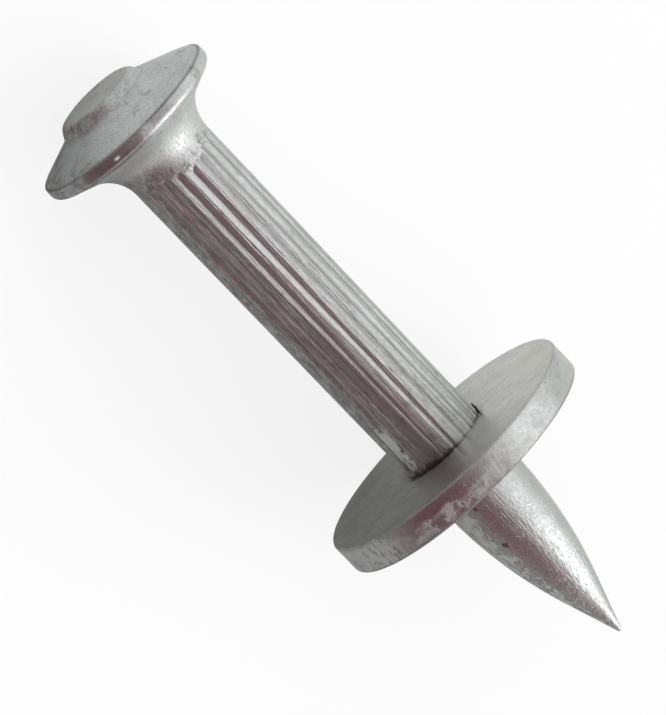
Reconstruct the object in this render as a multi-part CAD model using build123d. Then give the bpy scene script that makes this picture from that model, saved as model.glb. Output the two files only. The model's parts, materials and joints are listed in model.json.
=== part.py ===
"""Hammer drive pin with a steel washer, lying on its head and its washer.

Two pieces: a cold-formed steel pin (crown, flange head, neck, fluted shank and point)
and a punched washer pressed on the lower end of the flutes.

Each piece is made on its own axis, Z, with the struck face at 0 and the point at the far
end, and both are then laid down together. Sizes are in millimetres and degrees.
"""

from build123d import *
from math import asin, atan2, cos, degrees, hypot, pi, radians, sin, tan
import os

# Overall
pin_length = 30.78

# Crown: the raised round boss that the hammer or the tool strikes
crown_top_dia = 3.62
crown_foot_dia = 4.18
crown_height = 0.467
crown_edge_round = 0.4
crown_foot_fillet = 0.3

# Flange head: a thick disc, sloped on both faces
head_dia = 8.4
head_rim_height = 0.5
head_top_slope = 23.2
head_under_slope = 23.5
head_top_edge_round = 0.08
head_under_edge_round = 0.16
neck_fillet = 1.85

# Forging set the head and the crown a little off the shank's axis, to the same side
head_offset = 0.25
crown_offset = 0.46

# Shank: plain wire below the washer, raised flute crests above it
shank_dia = 3.7
crest_rise_at_neck = 0.125
crest_rise_at_end = 0.036
flute_count = 20
flute_root_depth = 0.005
flute_angle = 140
flute_start = 4.0
flute_runout_angle = 45

# Point: one long ogive arc that runs into a plain cone with a blunt nose
point_half_angle = 18.2
ogive_radius = 19.6
nose_radius = 0.1

# Washer
washer_dia = 12.0
washer_thickness = 1.36
washer_seat = 20.07
washer_edge_round = 0.12
bore_clearance = 0.01
flute_stop_above_underside = 0.2

# Margin for picking the edges to round by where they lie
pick_margin = 0.01

# Radii and stations that follow from the sizes above
shank_r = shank_dia / 2
neck_crest_r = shank_r + crest_rise_at_neck
end_crest_r = shank_r + crest_rise_at_end
flute_root_r = shank_r - flute_root_depth
head_r = head_dia / 2
crown_foot_r = crown_foot_dia / 2
washer_r = washer_dia / 2
rim_top = crown_height + (head_r - crown_foot_r) * tan(radians(head_top_slope))
rim_bottom = rim_top + head_rim_height
washer_underside = washer_seat + washer_thickness
flute_end = washer_underside - flute_stop_above_underside


def turned(outline):
    """Solid of revolution about Z from a closed outline of (radius, height) points.

    The seam where it starts and ends is turned to -X, the side that lies uppermost.
    """
    return Rot(0, 0, 180) * revolve(Plane.XZ * make_face(outline), axis=Axis.Z)


def crown():
    """Tapered boss on its own offset axis; it reaches down into the head."""
    taper = (crown_foot_dia - crown_top_dia) / 2 / crown_height
    sunk = 2 * crown_height
    sunk_r = crown_top_dia / 2 + taper * sunk
    outline = FilletPolyline(
        (0, 0),
        (crown_top_dia / 2, 0),
        (sunk_r, sunk),
        (0, sunk),
        radius=[0, crown_edge_round, 0, 0],
        close=True,
    )
    return Pos(0, -crown_offset, 0) * turned(outline)


def flange():
    """Flange head: a cone above and the rim on an offset axis, and a leaning cone below."""
    inner_top = crown_height / 2
    inner_top_r = crown_foot_r - (crown_height - inner_top) / tan(radians(head_top_slope))
    outline = FilletPolyline(
        (0, inner_top),
        (inner_top_r, inner_top),
        (head_r, rim_top),
        (head_r, rim_bottom),
        (0, rim_bottom),
        radius=[0, 0, head_top_edge_round, 0, 0],
        close=True,
    )
    disc = Pos(0, -head_offset, 0) * turned(outline)
    inner_r = shank_r / 2
    inner_z = rim_bottom + (head_r - inner_r) * tan(radians(head_under_slope))
    rim_ring = Pos(0, -head_offset, rim_bottom) * Rot(0, 0, 180) * Circle(head_r)
    inner_ring = Pos(0, 0, inner_z) * Rot(0, 0, 180) * Circle(inner_r)
    return disc + loft([rim_ring, inner_ring])


def shank_and_point():
    """Crest-height shank down to the washer's underside, plain shank, and ogive point."""
    angle = radians(point_half_angle)
    nose_z = pin_length - nose_radius + nose_radius * sin(angle)
    nose_r = nose_radius * cos(angle)
    cone_r = shank_r - ogive_radius * (1 - cos(angle))
    cone_z = nose_z - (cone_r - nose_r) / tan(angle)
    ogive_z = cone_z - ogive_radius * sin(angle)
    sides = Polyline(
        (0, rim_top),
        (neck_crest_r, rim_top),
        (end_crest_r, washer_underside - crest_rise_at_end),
        (shank_r, washer_underside),
        (shank_r, ogive_z),
    )
    ogive_mid = (
        shank_r - ogive_radius * (1 - cos(angle / 2)),
        ogive_z + ogive_radius * sin(angle / 2),
    )
    ogive = ThreePointArc((shank_r, ogive_z), ogive_mid, (cone_r, cone_z))
    cone = Line((cone_r, cone_z), (nose_r, nose_z))
    nose_mid_angle = (angle + pi / 2) / 2
    nose_mid = (
        nose_radius * cos(nose_mid_angle),
        pin_length - nose_radius + nose_radius * sin(nose_mid_angle),
    )
    nose = ThreePointArc((nose_r, nose_z), nose_mid, (0, pin_length))
    axis_line = Line((0, pin_length), (0, rim_top))
    return turned(sides + ogive + cone + nose + axis_line)


def flute_cutter(turn):
    """V groove of one flute, with a slanted run-out at its start."""
    outer_r = neck_crest_r + crest_rise_at_neck
    half_width = (outer_r - flute_root_r) * tan(radians(flute_angle / 2))
    lean = 1 / tan(radians(flute_runout_angle))
    root_z = flute_start + (neck_crest_r - flute_root_r) * lean
    outer_z = flute_start - (outer_r - neck_crest_r) * lean
    end_face = make_face(
        Polyline(
            (flute_root_r, 0, root_z),
            (outer_r, half_width, outer_z),
            (outer_r, -half_width, outer_z),
            close=True,
        )
    )
    groove = extrude(end_face, amount=flute_end - root_z, dir=(0, 0, 1))
    return Rot(0, 0, turn) * groove


def drive_pin():
    """The whole pin as one solid: fused, filleted at neck and crown foot, then fluted."""
    head = flange()
    low = rim_bottom - pick_margin
    high = rim_bottom + pick_margin
    head = fillet(edges_between(head, low, high, 0, head_r + pick_margin), head_under_edge_round)
    pin = shank_and_point() + head
    neck_reach = neck_crest_r + pick_margin
    pin = fillet(edges_between(pin, rim_bottom, flute_start, shank_r / 2, neck_reach), neck_fillet)
    pin += crown()
    foot_reach = crown_foot_r + crown_offset
    foot_edges = edges_between(pin, crown_height / 2, rim_top, crown_foot_r / 2, foot_reach)
    pin = fillet(foot_edges, crown_foot_fillet)
    pitch = 360 / flute_count
    cutters = [flute_cutter(pitch * (index + 0.5)) for index in range(flute_count)]
    return pin - cutters


def edges_between(solid, low, high, inner, outer):
    """Edges round the axis that lie between two heights and between two reaches in X."""
    found = ShapeList()
    for edge in solid.edges():
        box = edge.bounding_box()
        inside = low < box.min.Z and box.max.Z < high
        if inside and inner < box.max.X < outer:
            found.append(edge)
    return found


def washer(pin):
    """Punched disc. Its bore passes the plain shank and the flute crests bite into it."""
    bore_r = shank_r + bore_clearance
    outline = FilletPolyline(
        (bore_r, washer_seat),
        (washer_r, washer_seat),
        (washer_r, washer_underside),
        (bore_r, washer_underside),
        radius=[0, washer_edge_round, washer_edge_round, 0],
        close=True,
    )
    return turned(outline) - pin


def rest_tilt():
    """Angle of the axis on a floor that touches the head's rim and the washer's rim."""
    across = (washer_seat + washer_edge_round) - (rim_top + head_top_edge_round)
    washer_centre = washer_r - washer_edge_round
    head_centre = head_r - head_top_edge_round
    up = washer_centre - head_centre
    radius_step = washer_edge_round - head_top_edge_round
    return degrees(atan2(up, across) + asin(radius_step / hypot(across, up)))


def laid_down(pieces):
    """Lay the pieces down, point towards +X, and set the origin under the middle."""
    lying = [Rot(0, 90 - rest_tilt(), 0) * piece for piece in pieces]
    box = Compound(lying).bounding_box()
    to_floor = Pos(-box.center().X, -box.center().Y, -box.min.Z)
    return [to_floor * piece for piece in lying]


pin_upright = drive_pin()
washer_upright = washer(pin_upright)
pin_lying, washer_lying = laid_down([pin_upright, washer_upright])

os.makedirs("parts", exist_ok=True)
export_step(pin_lying, "parts/drive_pin.step")
export_step(washer_lying, "parts/washer.step")
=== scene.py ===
"""Looks of a headed steel drive pin with a washer, lying on a pale floor.

Both pieces are modelled on the pin's own axis, with the struck face at height 0 and the
point at the far end, and are then laid in the place of the solids that they stand for.
"""

import json
from math import acos, atan2, cos, hypot, pi, radians, sin, tan, tau
from types import SimpleNamespace

import bmesh
import bpy
from bpy.props import FloatProperty, FloatVectorProperty, IntProperty, PointerProperty
from mathutils import Matrix, Vector, noise


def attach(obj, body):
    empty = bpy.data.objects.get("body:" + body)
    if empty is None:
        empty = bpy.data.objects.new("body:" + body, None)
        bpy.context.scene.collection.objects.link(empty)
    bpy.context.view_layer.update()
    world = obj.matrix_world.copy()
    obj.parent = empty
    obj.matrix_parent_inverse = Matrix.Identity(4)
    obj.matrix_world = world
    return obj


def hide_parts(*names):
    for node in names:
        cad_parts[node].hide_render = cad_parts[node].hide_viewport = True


bl_info = {
    "name": "Drive Pin with Washer",
    "version": (1, 0, 0),
    "blender": (4, 5, 0),
    "location": "View3D > Sidebar > Drive Pin",
    "description": "Models a fluted drive pin, its pressed washer and a studio stage",
    "category": "Add Mesh",
}

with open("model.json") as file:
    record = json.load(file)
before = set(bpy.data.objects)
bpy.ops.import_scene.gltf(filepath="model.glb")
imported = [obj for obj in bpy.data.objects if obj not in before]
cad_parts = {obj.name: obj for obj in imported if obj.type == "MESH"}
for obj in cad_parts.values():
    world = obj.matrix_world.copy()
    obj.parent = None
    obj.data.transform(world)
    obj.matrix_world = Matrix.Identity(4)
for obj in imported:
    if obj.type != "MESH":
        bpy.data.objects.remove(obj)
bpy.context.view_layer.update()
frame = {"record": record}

MM = 0.001
PHOTO_WIDTH = 666
SENSOR_WIDTH = 36.0
MERGE_DISTANCE = 1e-9
SHARP_ANGLE = radians(50)

# Steps of the spun skins
STEPS_PER_FLUTE = 18
WASHER_STEPS = 480

# How much the flutes waver and wear
ROOT_WAVER = 0.008 * MM
FLUTE_WAVER = 0.010 * MM
NEAR_WEAR = 0.026 * MM
EDGE_WAVER = 0.022
EDGE_RAGGED = 0.045
RUNOUT_SLOPE = 0.6
CRUMPLE = 0.040 * MM
SEAM_DEPTH = 0.018 * MM
LAND_BURR = 0.007 * MM
NICK_DEPTH = 0.014 * MM

# Relief of the plate, and the sliver of steel at the bore
RELIEF_DEPTH = 0.03 * MM
BURR_SIZE = (0.10 * MM, 0.045 * MM, 0.60 * MM)
BURR_ROLL = radians(76)

# Stage: how far its flat pieces reach, where they stand, and the lamp, in metres
WHITE = (1, 1, 1)
FLOOR_REACH = 3.0
TABLE_REACH = 0.41
TABLE_HEIGHT = 0.2 * MM
CARD_RADIUS = 0.4
CARD_REACH = 0.5
END_CARD_REACH = 0.26
END_CARD_PLACE = (-0.36, -0.12, 0.12)
LAMP_SIZE = 0.19
LAMP_PLACE = (0.21, 0.165, 0.135)


def mount(name):
    """One mount of the packed record, found by its name."""
    for found in frame["record"]["mounts"]:
        if found["name"] == name:
            return found
    raise ValueError("The record has no mount named " + name)


ALONG = Vector(mount("washer_underside")["axis"]).normalized()
SIDEWAYS = Vector((0, 1, 0))
UPWARD = ALONG.cross(SIDEWAYS)


def length_of(name, description, millimetres):
    """Property that holds a length."""
    return FloatProperty(name=name, description=description, default=millimetres * MM,
                         unit="LENGTH", precision=5)


def angle_of(name, description, degrees):
    """Property that holds an angle."""
    return FloatProperty(name=name, description=description, default=radians(degrees),
                         subtype="ANGLE")


def colour_of(name, description, value):
    """Property that holds a colour."""
    return FloatVectorProperty(name=name, description=description, default=value,
                               subtype="COLOR", min=0, max=1)


class PinShape(bpy.types.PropertyGroup):
    """Sizes of the pin."""

    length: length_of("Length", "From the struck face to the tip of the point", 30.78)
    crown_top_radius: length_of(
        "Crown top radius", "Radius of the struck crown at its face", 1.81)
    crown_foot_radius: length_of(
        "Crown foot radius", "Radius of the crown where it meets the head", 2.09)
    crown_height: length_of(
        "Crown height", "How far the crown stands up from the head", 0.467)
    crown_edge_round: length_of("Crown edge round", "Round of the crown's worn edge", 0.4)
    crown_foot_round: length_of(
        "Crown foot round", "Hollow round at the foot of the crown", 0.3)
    crown_offset: length_of(
        "Crown offset", "How far forging set the crown off the shank's axis", 0.46)
    head_radius: length_of("Head radius", "Radius of the flange head", 4.2)
    head_offset: length_of(
        "Head offset", "How far forging set the head off the shank's axis", 0.25)
    head_top_slope: angle_of("Head top slope", "Slope of the cone above the rim", 23.2)
    head_under_slope: angle_of(
        "Head underside slope", "Slope of the cone below the rim", 23.5)
    rim_height: length_of("Rim height", "Height of the head's straight rim", 0.5)
    rim_top_round: length_of("Rim top round", "Round of the rim's upper edge", 0.10)
    rim_under_round: length_of(
        "Rim underside round", "Round of the rim's lower edge", 0.28)
    neck_round: length_of(
        "Neck round", "Hollow round between the head and the shank", 1.85)
    shank_radius: length_of(
        "Shank radius", "Radius of the plain shank below the washer", 1.85)
    neck_crest: length_of(
        "Crest radius at the neck", "Radius over the flutes near the head", 1.975)
    end_crest: length_of(
        "Crest radius at the washer", "Radius over the flutes at the washer", 1.886)
    flute_root: length_of(
        "Flute root radius", "Radius at the bottom of the flutes", 1.845)
    flute_count: IntProperty(
        name="Flutes", description="Number of flutes round the shank", default=20, min=3)
    flute_angle: angle_of("Flute angle", "Angle between the two flanks of a flute", 140)
    flute_start: length_of(
        "Flute start", "Height at which the shallowest flutes begin", 4.0)
    point_half_angle: angle_of(
        "Point half angle", "Half angle of the cone at the tip", 18.2)
    ogive_radius: length_of("Ogive radius", "Radius of the long arc of the point", 19.6)
    nose_radius: length_of("Nose radius", "Radius of the blunt tip", 0.1)


class WasherShape(bpy.types.PropertyGroup):
    """Sizes of the washer."""

    radius: length_of("Radius", "Outer radius of the washer", 6.0)
    thickness: length_of("Thickness", "Thickness of the washer", 1.36)
    seat: length_of("Seat", "Height of the washer's upper face on the pin", 20.07)
    edge_round: length_of("Edge round", "Round of the washer's outer edges", 0.12)
    bore_radius: length_of("Bore radius", "Radius of the hole", 1.86)


class Finish(bpy.types.PropertyGroup):
    """Colours of the plated steel, and of the painted shade, reflection and glint laid on it."""

    pin_zinc: colour_of(
        "Pin plating", "Colour of the zinc plate on the pin", (0.70, 0.735, 0.725))
    washer_zinc: colour_of(
        "Washer plating", "Colour of the zinc plate on the washer", (0.79, 0.785, 0.75))
    head_zinc: colour_of(
        "Head plating", "Colour of the cleaner zinc on the head", (0.76, 0.80, 0.80))
    rim_zinc: colour_of(
        "Washer rim plating", "Colour of the zinc plate on the washer's rim",
        (0.80, 0.835, 0.83))
    # Colour of bare steel, also laid on the washer's face in front of the shank as painted
    # shade.
    bare_steel_and_shade: colour_of(
        "Bare steel", "Colour of steel where the plate is rubbed through",
        (0.42, 0.41, 0.40))
    # Dark colour of the painted reflection on the rim's near side and of the painted shade on
    # the neck's near side.
    painted_shade_and_reflection: colour_of(
        "Rim film", "Colour of the dark film on the head's rim", (0.30, 0.26, 0.26))
    stain: colour_of(
        "Stain", "Colour of the brown film on the head", (0.25, 0.21, 0.18))
    # Dark colour of grime in seams and pits, also laid as painted shadow where the pin meets the
    # washer and along the rim's upper edge.
    grime_and_shade: colour_of(
        "Grime", "Colour of the dark film in seams and pits", (0.10, 0.09, 0.09))
    flake: colour_of(
        "Flakes", "Colour of dull zinc flakes on the near side", (0.50, 0.515, 0.50))
    # Pale colour of the painted glint on the head's rim; the neck is also lightened with it.
    painted_glint: colour_of(
        "Chip", "Colour of the pale chip on the head's rim", (0.90, 0.92, 0.91))


class StageLook(bpy.types.PropertyGroup):
    """Camera, floor, light and the colours of the painted reflections."""

    view_tilt: angle_of(
        "View tilt", "Angle between the pin's axis and the line of sight", 77.2016)
    picture_turn: angle_of(
        "Picture turn", "How far the picture is turned from the pin's axis", 46.2807)
    picture_scale: FloatProperty(
        name="Picture scale", description="Pixels for each millimetre at the pin",
        default=24.9696)
    camera_distance: length_of(
        "Camera distance", "From the camera to the middle of the picture", 500)
    aim: FloatVectorProperty(
        name="Aim", description="Middle of the picture, along, across and above the axis",
        default=(14.425 * MM, -0.778 * MM, -0.119 * MM), subtype="XYZ", unit="LENGTH",
        precision=6)
    floor_colour: colour_of("Floor", "Colour of the floor", (0.93, 0.93, 0.93))
    floor_glow: FloatProperty(
        name="Floor glow", description="Share of the floor's white that shadows don't reach",
        default=0.78, subtype="FACTOR", min=0, max=1)
    # Colours of glowing cards that only the metal's reflections see: painted reflections.
    dark_card: colour_of(
        "Dark card", "Colour of the warm dark card that the metal mirrors",
        (0.204, 0.104, 0.131))
    card_foot: colour_of(
        "Card foot", "Colour of the dark card where it meets the floor",
        (0.31, 0.295, 0.295))
    # Colours of the painted reflection sheet under the pin: the near-side greys are painted
    # shadow, the paler ones painted lit floor.
    painted_shadow_near: colour_of(
        "Near table", "Mirrored table on the near side, under the head",
        (0.188, 0.194, 0.190))
    painted_shadow_at_point: colour_of(
        "Table at the point", "Mirrored table on the near side, at the point",
        (0.39, 0.385, 0.385))
    painted_shade_outer: colour_of(
        "Outer table", "Mirrored table farther out on the near side", (0.37, 0.37, 0.37))
    table_head: colour_of(
        "Table past the head", "Mirrored table beyond the head, in the middle",
        (0.86, 0.88, 0.875))
    table_far: colour_of(
        "Far table", "Mirrored table on the far side", (0.72, 0.73, 0.71))
    lamp_power: FloatProperty(
        name="Lamp power", description="Power of the soft lamp", default=0.18, unit="POWER")
    bright_side: FloatProperty(
        name="Bright side", description="Light on matt surfaces from the far side",
        default=1.5)
    dim_side: FloatProperty(
        name="Dim side", description="Light on matt surfaces from the near side",
        default=0.5)


def pin_start():
    """Place of the middle of the struck face on the shank's axis."""
    washer = bpy.context.scene.drive_pin_washer
    seat_middle = washer.seat + washer.thickness / 2
    return Vector(mount("washer_rim")["pos_m"]) - seat_middle * ALONG


def own_frame():
    """Matrix from the pin's own axes to the row's: own -X lies uppermost, own Z runs along."""
    turn = Matrix((-UPWARD, SIDEWAYS, ALONG)).transposed().to_4x4()
    return Matrix.Translation(pin_start()) @ turn


def smooth_step(value, low, high):
    """0 below low, 1 above high, and a smooth rise between."""
    part = min(1.0, max(0.0, (value - low) / (high - low)))
    return part * part * (3 - 2 * part)


def bump(value, low, peak, high):
    """Smooth hill that is 1 at the peak and 0 outside low and high."""
    return smooth_step(value, low, peak) * (1 - smooth_step(value, peak, high))


def mix(first, second, part):
    """Value part of the way from the first to the second."""
    return first + (second - first) * part


def rough(place, cell):
    """Smooth noise between -1 and 1 with lumps about one cell across."""
    return noise.noise(place / cell)


def waver(first, second, third):
    """Smooth noise between -1 and 1 at a place given by three numbers."""
    return noise.noise(Vector((first, second, third)))


def line_points(first, last, count):
    """Points that divide a line into count runs, without its first end."""
    return [first.lerp(last, step / count) for step in range(1, count + 1)]


def corner_points(before, corner, after, radius, count):
    """Points of the arc that rounds a corner of an outline, both of its ends included."""
    back = (before - corner).normalized()
    onward = (after - corner).normalized()
    half = back.angle(onward) / 2
    centre = corner + (back + onward).normalized() * radius / sin(half)
    first = corner + back * radius / tan(half) - centre
    last = corner + onward * radius / tan(half) - centre
    start = atan2(first.y, first.x)
    sweep = (atan2(last.y, last.x) - start + pi) % tau - pi
    turns = [start + sweep * step / count for step in range(count + 1)]
    return [centre + radius * Vector((cos(turn), sin(turn))) for turn in turns]


def crossing(first, first_way, second, second_way):
    """Where two lines of an outline cross."""
    between = second - first
    part = between.cross(second_way) / first_way.cross(second_way)
    return first + part * first_way


def plain_stations(points, offset=0):
    """Stations of the points of an outline, all on one axis."""
    return [(*point, offset, 0) for point in points]


def spun_skin(stations, closed, steps):
    """Skin of a list of stations (radius, height, offset, rise) spun about the Z axis.

    Offset is how far the ring of a station is set off to -Y. Rise is how much its height
    grows with the distance from the head's own axis. Both ride on the vertices.
    """
    bm = bmesh.new()
    layers = new_layers(bm, "offset", "rise")
    verts = []
    for radius, height, offset, rise in stations:
        vert = bm.verts.new((-radius, 0, height))
        vert[layers.offset] = offset
        vert[layers.rise] = rise
        verts.append(vert)
    pairs = list(zip(verts, verts[1:]))
    if closed:
        pairs.append((verts[-1], verts[0]))
    edges = [bm.edges.new(pair) for pair in pairs]
    bmesh.ops.spin(
        bm, geom=verts + edges, cent=(0, 0, 0), axis=(0, 0, 1), dvec=(0, 0, 0),
        angle=tau, steps=steps, use_merge=True, use_normal_flip=False, use_duplicate=False)
    bmesh.ops.remove_doubles(bm, verts=bm.verts, dist=MERGE_DISTANCE)
    bmesh.ops.recalc_face_normals(bm, faces=bm.faces)
    return bm


def new_layers(bm, *names):
    """New values that ride on the vertices, each under its own name."""
    return SimpleNamespace(**{name: bm.verts.layers.float.new(name) for name in names})


def drop_layers(bm, *names):
    """Take values that are no longer needed off the vertices."""
    for name in names:
        bm.verts.layers.float.remove(bm.verts.layers.float[name])


def rim_top_height(shape):
    """Height of the upper edge of the head's rim."""
    across = shape.head_radius - shape.crown_foot_radius
    return shape.crown_height + across * tan(shape.head_top_slope)


def crown_and_head(shape):
    """Stations from the middle of the struck face to the rim's lower edge."""
    slope = tan(shape.head_top_slope)
    rim_top = rim_top_height(shape)
    middle = Vector((0, 0))
    edge = Vector((shape.crown_top_radius, 0))
    foot = Vector((shape.crown_foot_radius, shape.crown_height))
    rim_upper = Vector((shape.head_radius, rim_top))
    rim_lower = Vector((shape.head_radius, rim_top + shape.rim_height))
    inward = rim_lower + Vector((-cos(shape.head_under_slope), sin(shape.head_under_slope)))
    edge_arc = corner_points(middle, edge, foot, shape.crown_edge_round, 7)
    foot_arc = corner_points(edge, foot, rim_upper, shape.crown_foot_round, 6)
    upper_arc = corner_points(foot, rim_upper, rim_lower, shape.rim_top_round, 5)
    lower_arc = corner_points(rim_upper, rim_lower, inward, shape.rim_under_round, 7)
    crown = [middle] + line_points(middle, edge_arc[0], 5) + edge_arc[1:]
    crown += line_points(edge_arc[-1], foot_arc[0], 3)
    stations = plain_stations(crown, shape.crown_offset)
    for step, point in enumerate(foot_arc[1:], 1):
        rise = slope * step / (len(foot_arc) - 1)
        stations.append((*point, shape.crown_offset, rise))
    for point in line_points(foot_arc[-1], upper_arc[0], 16):
        part = (point.x - foot_arc[-1].x) / (upper_arc[0].x - foot_arc[-1].x)
        stations.append((*point, mix(shape.crown_offset, shape.head_offset, part), slope))
    rim = upper_arc[1:] + line_points(upper_arc[-1], lower_arc[0], 5) + lower_arc[1:]
    return stations + plain_stations(rim, shape.head_offset), rim_lower


def neck_stations(shape, rim_lower, underside):
    """Stations of the leaning cone under the head and the hollow neck below it."""
    way = Vector((-cos(shape.head_under_slope), sin(shape.head_under_slope)))
    crest_top = Vector((shape.neck_crest, rim_lower.y - shape.rim_height))
    crest_end = Vector((shape.end_crest, underside - (shape.end_crest - shape.shank_radius)))
    corner = crossing(rim_lower, way, crest_top, crest_end - crest_top)
    neck_arc = corner_points(rim_lower, corner, crest_end, shape.neck_round, 18)
    cone_start = rim_lower + way * shape.rim_under_round
    stations = []
    for point in line_points(cone_start, neck_arc[0], 7) + neck_arc[1:]:
        part = (point.x - neck_arc[-1].x) / (shape.head_radius - neck_arc[-1].x)
        stations.append((*point, shape.head_offset * part, 0))
    return stations, crest_end


def fluted_stations(shape, neck_end, crest_end):
    """Stations of the fluted shank, close together where the flutes begin and end."""
    first_height = neck_end[1]
    start_zone = shape.flute_start - 0.45 * MM
    start_end = shape.flute_start + 0.75 * MM
    end_zone = crest_end.y - 1.9 * MM
    heights = []
    for low, high, gap in (
        (first_height, start_zone, 0.12 * MM),
        (start_zone, start_end, 0.042 * MM),
        (start_end, end_zone, 0.15 * MM),
        (end_zone, end_zone + 0.7 * MM, 0.07 * MM),
        (end_zone + 0.7 * MM, crest_end.y, 0.3 * MM),
    ):
        count = max(1, round((high - low) / gap))
        heights += [mix(low, high, step / count) for step in range(1, count + 1)]
    stations = []
    for height in heights:
        part = (height - first_height) / (crest_end.y - first_height)
        stations.append((mix(neck_end[0], crest_end.x, part), height, 0, 0))
    return stations


def point_stations(shape, underside):
    """Stations of the plain shank, the ogive, the cone and the blunt nose."""
    angle = shape.point_half_angle
    nose_height = shape.length - shape.nose_radius + shape.nose_radius * sin(angle)
    nose_edge = shape.nose_radius * cos(angle)
    cone_radius = shape.shank_radius - shape.ogive_radius * (1 - cos(angle))
    cone_height = nose_height - (cone_radius - nose_edge) / tan(angle)
    ogive_height = cone_height - shape.ogive_radius * sin(angle)
    shank_top = Vector((shape.shank_radius, underside))
    shank_end = Vector((shape.shank_radius, ogive_height))
    points = [shank_top] + line_points(shank_top, shank_end, 7)
    ogive_steps = 28
    for step in range(1, ogive_steps + 1):
        turn = angle * step / ogive_steps
        inward = shape.ogive_radius * (1 - cos(turn))
        height = ogive_height + shape.ogive_radius * sin(turn)
        points.append(Vector((shape.shank_radius - inward, height)))
    points += line_points(points[-1], Vector((nose_edge, nose_height)), 9)
    nose_steps = 4
    for step in range(1, nose_steps + 1):
        turn = mix(angle, pi / 2, step / nose_steps)
        height = shape.length - shape.nose_radius * (1 - sin(turn))
        points.append(Vector((shape.nose_radius * cos(turn), height)))
    points[-1].x = 0
    return plain_stations(points)


def pin_stations(shape, washer):
    """All stations of the pin, from the struck face to the tip."""
    underside = washer.seat + washer.thickness
    head, rim_lower = crown_and_head(shape)
    neck, crest_end = neck_stations(shape, rim_lower, underside)
    fluted = fluted_stations(shape, neck[-1], crest_end)
    return head + neck + fluted + point_stations(shape, underside)


def set_off_axis(bm, shape):
    """Move each ring of the head to its own axis and let the cone's height follow."""
    offset = bm.verts.layers.float["offset"]
    rise = bm.verts.layers.float["rise"]
    for vert in bm.verts:
        radius = hypot(vert.co.x, vert.co.y)
        vert.co.y -= vert[offset]
        reach = hypot(vert.co.x, vert.co.y + shape.head_offset)
        vert.co.z += vert[rise] * (reach - radius)
    drop_layers(bm, "rise", "offset")


def flank_radius(shape, root, turn):
    """Radius of a flute's flank at an angle from the middle of the flute."""
    lean = 1 / tan(shape.flute_angle / 2)
    return root / (cos(turn) - sin(abs(turn)) * lean)


def groove_reach(shape, root, crest):
    """Angle from the middle of a flute to where its flank reaches the crest radius."""
    lean = atan2(1, tan(shape.flute_angle / 2))
    return acos(min(1.0, root / crest * cos(lean))) - lean


def flute_root(shape, height, groove, pitch):
    """Radius at the bottom of one flute: a little wavy, and worn on the near side."""
    down = height / MM
    root = shape.flute_root + ROOT_WAVER * waver(0.7, 5.3, down / 3.1)
    root += FLUTE_WAVER * waver(groove * 2.3, 8.1, down / 3.0)
    by_washer = smooth_step(height, 10.5 * MM, 16.5 * MM)
    middle = groove * pitch + pitch / 2
    near_side = bump(middle, radians(-40), radians(-16), radians(5))
    return root + NEAR_WEAR * by_washer * near_side


def flute_spot(shape, co, low):
    """Where a point of the shank lies between two flutes, and the cut of its flute.

    Moved is the point's part of the way from the middle of its land, 0, to the middle of
    its flute, 1, once the rings' points are drawn together at the edges of the lands.
    """
    pitch = tau / shape.flute_count
    land_share = 4 / 9
    least_land = 0.13
    radius = hypot(co.x, co.y)
    down = co.z / MM
    turns = atan2(co.y, -co.x) / pitch
    land = round(turns)
    share = (turns - land) * 2
    side = 1 if share >= 0 else -1
    groove = land if share >= 0 else land - 1
    root = flute_root(shape, co.z, groove, pitch)
    real_land = max(0.0, 1 - groove_reach(shape, root, radius) / (pitch / 2))
    near_start = smooth_step(co.z, low, shape.flute_start)
    wide = mix(land_share, max(real_land, least_land), near_start)
    part = abs(share)
    if part <= land_share:
        moved = wide * part / land_share
    else:
        moved = wide + (1 - wide) * (part - land_share) / (1 - land_share)
    edge = EDGE_WAVER * waver(land * 5.0, side * 2.0, down / 2.6)
    edge += EDGE_RAGGED * waver(land * 9.0, side * 4.0, down / 0.42)
    flank_part = min(1.0, max(0.0, moved + edge * (1 - moved) * moved * 4))
    start = shape.flute_start + (0.12 + 0.5 * waver(groove * 3.7, 1.3, 0.0)) * MM
    return SimpleNamespace(
        radius=radius, height=co.z, down=down, pitch=pitch, land=land, side=side,
        groove=groove, root=root, real_land=real_land, wide=wide, moved=moved, start=start,
        roll=(land + side * flank_part / 2) * pitch,
        from_groove=(1 - flank_part) * pitch / 2)


def pressed_surface(shape, at, crumple_place):
    """Radius of the flute's bed, its torn run-out or the land, whichever the point is on."""
    tear = rough(crumple_place, 0.16 * MM) + 0.5 * rough(crumple_place, 0.07 * MM)
    runout = shape.neck_crest - RUNOUT_SLOPE * (at.height - at.start - 0.08 * MM * tear)
    bed = flank_radius(shape, at.root, at.from_groove)
    return min(at.radius, max(bed, min(runout, shape.neck_crest + 1 * MM)))


def torn_start(at, crumple):
    """How much of the metal is torn where the flute starts, and how rolled in it is."""
    before = bump(at.height, at.start - 0.62 * MM, at.start - 0.06 * MM, at.start + 0.30 * MM)
    patch = before * (1 - smooth_step(at.from_groove, 0.22 * at.pitch, 0.5 * at.pitch))
    rolled_in = 0.3 + 0.7 * smooth_step(at.roll, radians(-16), radians(6))
    patch *= rolled_in * (0.6 + 0.8 * waver(at.groove * 1.9, 4.4, 2.0))
    crease = (1 - smooth_step(abs(crumple), 0.02, 0.14)) * min(1.0, 2.2 * patch)
    return patch, rolled_in, crease


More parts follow.
